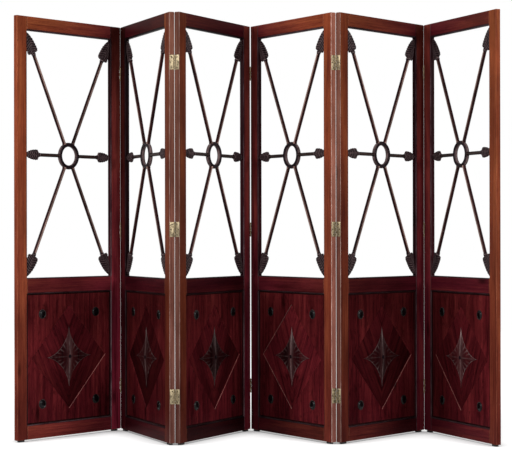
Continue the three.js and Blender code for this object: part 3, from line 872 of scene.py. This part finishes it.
def feather(shape, start, along, across, length, half, outline, ribs, slope):
    """A carved arrow head: a raised shaft between two vanes of slanting ribs, the same on both
    faces."""
    stations, columns = ribs * 8, 17

    def half_width(t):
        for (t0, w0), (t1, w1) in zip(outline, outline[1:]):
            if t <= t1:
                k = (t - t0) / (t1 - t0)
                return half * (w0 + (w1 - w0) * k)
        return half * outline[-1][1]

    rings = []
    for i in range(stations + 1):
        t = i / stations
        w = half_width(t)
        front, back = [], []
        for j in range(columns):
            v = -1 + 2 * j / (columns - 1)
            v = math.copysign(abs(v) ** 0.85, v)
            x = v * w
            phase = (t * length + abs(x) * slope) * ribs / length
            rib = math.sin(math.pi * (phase % 1.0)) ** 0.7
            shaft = SHAFT * (1 - SHAFT_TAPER * t)
            core = math.sqrt(max(shaft * shaft - x * x, 0)) * 1.04
            rim = smooth(0, 0.22, 1 - abs(v))
            vane = VANE_EDGE + VANE_CROWN * (1 - abs(v) * 0.6) + RIB_RISE * rib
            vane *= 0.25 + 0.75 * rim
            vane *= min(1, w / 9)
            high = max(core if t < SHAFT_END else core * (1 - (t - SHAFT_END) / 0.1), vane, 0.3)
            # Rib crests are marked paler, and the shaft a little: painted highlights.
            worn_and_sheen = 0.8 * smooth(0.8, 1, rib) if vane > core else 0.25
            edge = 0.88 + 0.12 * rib if abs(v) == 1 else 1
            base = start + along * (t * length) + across * (x * edge)
            base.x = min(max(base.x, CX - BAY_X + SEAT), CX + BAY_X - SEAT)
            front.append((*(base + Vector((0, -high, 0))), worn_and_sheen))
            back.append((*(base + Vector((0, high, 0))), worn_and_sheen))
        rings.append(front + back[::-1])
    shape.loft(rings)


def make_arrows(p):
    node = f"panel{p}_arrow_grille"
    centre = Vector((CX, 0, GRILLE_Z))
    slope = math.atan2(GRILLE_HALF, BAY_X)
    corners = (slope, math.pi - slope, math.pi + slope, -slope)
    corner_tip, side_tip = math.hypot(GRILLE_HALF, BAY_X) - 5, BAY_X - 0.6
    arrows = [(f"corner_{i}", a, corner_tip, CORNER_HEAD) for i, a in enumerate(corners, 1)]
    arrows += [(f"side_{i}", a, side_tip, SIDE_HEAD) for i, a in enumerate((0, math.pi), 1)]
    for name, angle, tip, head in arrows:
        corner = head is CORNER_HEAD
        along = Vector((math.cos(angle), 0, math.sin(angle)))
        across = Vector((-math.sin(angle), 0, math.cos(angle)))
        base = tip - head["length"]

        def rod_grain(q, along=along, across=across):
            d = q - centre * MM
            return (d.dot(across), d.y, d.dot(along))

        shape = Shape()
        near, far = RING + 14, base - 14
        profile = [(RING + 4, 8.0), (RING + 9, 9.2), (RING + 10.5, 9), (RING + 12, 8), (near, ROD)]
        for k in range(1, 9):
            profile.append((near + (far - near) * k / 8, ROD + (SWELL if 1 < k < 8 else 0)))
        profile.append((base - 10, ROD))
        shape.lathe(profile, centre, along, 20, across=across)
        # A paler line along each rod's front and back: a painted highlight.
        worn_and_sheen = 0.55 if corner else 0.15
        for vert in shape.bm.verts:
            vert[shape.wear_and_sheen] = worn_and_sheen * smooth(0.88, 1, abs(vert.co.y) / MM / ROD)
        tone = chance.uniform(0.85, 1.2) if corner else 0.35
        piece(f"panel{p}_rod_{name}", shape, p, [ROD_WOOD], node, grain=rod_grain,
              tone=tone, sharp=50)

        shape = Shape()
        shares = (
            (-12.5, 0.74), (-11.8, 0.86), (-10.2, 0.9), (-9.2, 0.82), (-8.0, 0.9), (-6.0, 1.0),
            (-4.0, 1.0), (-2.2, 0.93), (-0.8, 0.86), (1.5, 0.76), (3, 0.64),
        )
        collar = [(d, COLLAR * share) for d, share in shares]
        shape.lathe(collar, centre + along * base, along, 28, across=across)
        for vert in shape.bm.verts:
            d = (vert.co / MM - centre).dot(along) - base
            on_bulge = -7 < d < -3
            vert[shape.wear_and_sheen] = 1.0 if on_bulge else 0.0
        piece(f"panel{p}_collar_{name}", shape, p, [CARVED_WOOD], node,
              grain=rod_grain, sharp=55)

        shape = Shape()
        feather(shape, centre + along * base, along, across, **head)
        piece(f"panel{p}_head_{name}", shape, p, [CARVED_WOOD], node,
              grain=rod_grain, sharp=65)


for p in PANELS:
    make_frame(p)
    make_board(p)
    make_star(p)
    make_studs(p)
    make_ring(p)
    make_arrows(p)


# ---------------------------------------------------------------- hinges

def add_knuckles(shape, x, y, z, inward, to_wood, first):
    """Every second of a hinge's five knuckles, with the tabs that join them to their leaf."""
    height = 2 * HINGE_HALF / 5
    outer = x + to_wood * KNUCKLE
    for k in range(first, 5, 2):
        low = z - HINGE_HALF + k * height + (KNUCKLE_GAP if k else 0)
        high = z - HINGE_HALF + (k + 1) * height - (KNUCKLE_GAP if k < 4 else 0)
        tube = (
            (low + 0.05, BORE), (low, 1.9), (low, 2.6), (low + 0.3, KNUCKLE),
            (high - 0.3, KNUCKLE), (high, 2.6), (high, 1.9), (high - 0.05, BORE),
        )
        shape.lathe(tube, (x, y, 0), (0, 0, 1), 24, closed=True)
        tab_xs = sorted((outer - to_wood * LEAF, outer - to_wood * 0.02))
        tab_ys = sorted((y + inward * 2.0, y + inward * 3.8))
        shape.bar("z", tab_xs, tab_ys, (low + 0.02, high - 0.02), r=0.1, steps=1)


def add_screw(shape, at, out):
    """A screw's head, whose two raised halves leave a slot at a chance angle."""
    shape.lathe(((-0.4, 3.5), (0.08, 3.5), (0.16, 3.2), (0.16, 0.1)), at, out, 24)
    angle = chance.uniform(0, math.pi)
    for half in (0, 1):
        turn = angle + half * math.pi
        rim = []
        for k in range(13):
            a = turn + math.radians(8 + 164 * k / 12)
            rim.append((3.05 * math.cos(a), 3.05 * math.sin(a)))
        rings = []
        for height, scale in ((0.1, 1.0), (0.38, 0.98), (0.5, 0.9)):
            rings.append([at + out * height + Vector((0, u * scale, v * scale)) for u, v in rim])
        shape.loft(rings)


def make_leaf(joint, level, side):
    """One leaf with its knuckles, its screws, and on the left leaf the pin."""
    left = side == "left"
    panel = joint if left else joint + 1
    inward = 1 if joint % 2 else -1
    to_wood = -1 if left else 1
    x = (WIDTH + PIVOT_X) if left else -PIVOT_X
    y, z = -inward * PIVOT_Y, HINGE_HEIGHTS[level]
    low, high = z - HINGE_HALF, z + HINGE_HALF
    face = x + to_wood * (KNUCKLE - LEAF)
    name = f"hinge{joint}{joint + 1}_{level}"
    node = f"{name}_{side}_leaf"
    shape = Shape()
    xs = sorted((face, x + to_wood * KNUCKLE))
    ys = sorted((y + inward * 3.3, y + inward * LEAF_REACH))
    shape.bar("x", xs, ys, (low, high), r=0.35, steps=2)
    add_knuckles(shape, x, y, z, inward, to_wood, first=0 if left else 1)
    piece(f"{node}_plate", shape, panel, [HINGE_BRASS], node, sharp=30)

    shape = Shape()
    for dz, reach in SCREWS:
        at = Vector((face, y + inward * reach, z + dz))
        add_screw(shape, at, Vector((-to_wood, 0, 0)))
    piece(f"{name}_{side}_screws", shape, panel, [SCREW_BRASS], node, sharp=35)

    if left:
        shape = Shape()
        pin = ((low - 0.5, 0.6), (low - 0.25, 1.2), (low + 0.2, 1.48), (high - 0.2, 1.48),
               (high + 0.25, 1.2), (high + 0.5, 0.6))
        shape.lathe(pin, (x, y, 0), (0, 0, 1), 20)
        piece(f"{name}_pin", shape, panel, [SCREW_BRASS], node, sharp=50)


for joint in JOINTS:
    for level in HINGE_HEIGHTS:
        for side in ("left", "right"):
            make_leaf(joint, level, side)


# ---------------------------------------------------------------- floor, background and light

def sees_background(tree):
    """1 for what the eye sees, and what mirrors and glass show."""
    path = tree.nodes.new("ShaderNodeLightPath")
    seen = maths(tree, "MAXIMUM", path.outputs["Is Camera Ray"], path.outputs["Is Glossy Ray"])
    return maths(tree, "MAXIMUM", seen, path.outputs["Is Transmission Ray"])


def make_floor():
    material = bpy.data.materials.new("floor")
    material.use_nodes = True
    tree = material.node_tree
    tree.nodes.clear()
    out = tree.nodes.new("ShaderNodeOutputMaterial")
    paper = tree.nodes.new("ShaderNodeBsdfDiffuse")
    paper.inputs[0].default_value = grey(0.55)
    glow = tree.nodes.new("ShaderNodeEmission")
    glow.inputs[0].default_value = grey(1.0)
    place = tree.nodes.new("ShaderNodeTexCoord")
    distance = tree.nodes.new("ShaderNodeVectorMath")
    distance.operation = "LENGTH"
    put(tree, distance.inputs[0], place.outputs["Object"])
    far = tree.nodes.new("ShaderNodeMapRange")
    far.interpolation_type = "SMOOTHSTEP"
    put(tree, far.inputs["Value"], distance.outputs["Value"])
    for name, value in (("From Min", 1.2), ("From Max", 2.6), ("To Min", 0.76), ("To Max", 1.0)):
        far.inputs[name].default_value = value
    # Ambient occlusion dims the floor's glow beside the screen: a painted contact shadow.
    painted_contact_shadow = tree.nodes.new("ShaderNodeAmbientOcclusion")
    painted_contact_shadow.samples = 16
    painted_contact_shadow.inputs["Distance"].default_value = 0.11
    shaded = maths(tree, "MULTIPLY", far.outputs[0], painted_contact_shadow.outputs["AO"])
    put(tree, glow.inputs[1], maths(tree, "MULTIPLY", sees_background(tree), shaded))
    both = tree.nodes.new("ShaderNodeAddShader")
    tree.links.new(paper.outputs[0], both.inputs[0])
    tree.links.new(glow.outputs[0], both.inputs[1])
    tree.links.new(both.outputs[0], out.inputs[0])
    half = 8
    corners = [(-half, -half, 0), (half, -half, 0), (half, half, 0), (-half, half, 0)]
    mesh = bpy.data.meshes.new("floor")
    mesh.from_pydata(corners, [], [(0, 1, 2, 3)])
    mesh.materials.append(material)
    floor = bpy.data.objects.new("floor", mesh)
    bpy.context.scene.collection.objects.link(floor)


def make_world():
    """White for what sees the background, and a soft fill for the rest."""
    world = bpy.data.worlds.new("studio")
    bpy.context.scene.world = world
    world.use_nodes = True
    tree = world.node_tree
    tree.nodes.clear()
    out = tree.nodes.new("ShaderNodeOutputWorld")
    mix = tree.nodes.new("ShaderNodeMixShader")
    put(tree, mix.inputs[0], sees_background(tree))
    for socket, strength in ((mix.inputs[1], 0.2), (mix.inputs[2], 1.0)):
        light = tree.nodes.new("ShaderNodeBackground")
        light.inputs[0].default_value = grey(1.0)
        light.inputs[1].default_value = strength
        tree.links.new(light.outputs[0], socket)
    tree.links.new(mix.outputs[0], out.inputs[0])


def area_light(name, location, target, size, power):
    data = bpy.data.lights.new(name, "AREA")
    data.shape = "DISK"
    data.size = size
    data.energy = power
    lamp = bpy.data.objects.new(name, data)
    bpy.context.scene.collection.objects.link(lamp)
    lamp.location = location
    way = Vector(target) - Vector(location)
    lamp.rotation_euler = way.to_track_quat("-Z", "Y").to_euler()


def make_camera():
    data = bpy.data.cameras.new("camera")
    data.sensor_width = 36
    data.lens = 119.47
    camera = bpy.data.objects.new("camera", data)
    bpy.context.scene.collection.objects.link(camera)
    turn = (
        Matrix.Rotation(math.radians(4.896), 4, "Z")
        @ Matrix.Rotation(math.radians(90.058), 4, "X")
        @ Matrix.Rotation(math.radians(-0.096), 4, "Z")
    )
    camera.matrix_world = Matrix.Translation((0.6204, -7.4029, 0.8988)) @ turn
    data.clip_end = 100
    bpy.context.scene.camera = camera


make_floor()
make_world()
area_light("left", (-5.2, -3.4, 3.2), (-0.2, 0, 1.0), 2.4, 210)
area_light("right", (5.4, -3.4, 3.2), (0.2, 0, 1.0), 2.4, 210)
area_light("front", (0, -5.2, 3.8), (0, 0, 1.2), 2.4, 170)
make_camera()
bpy.context.scene.view_settings.view_transform = "Standard"
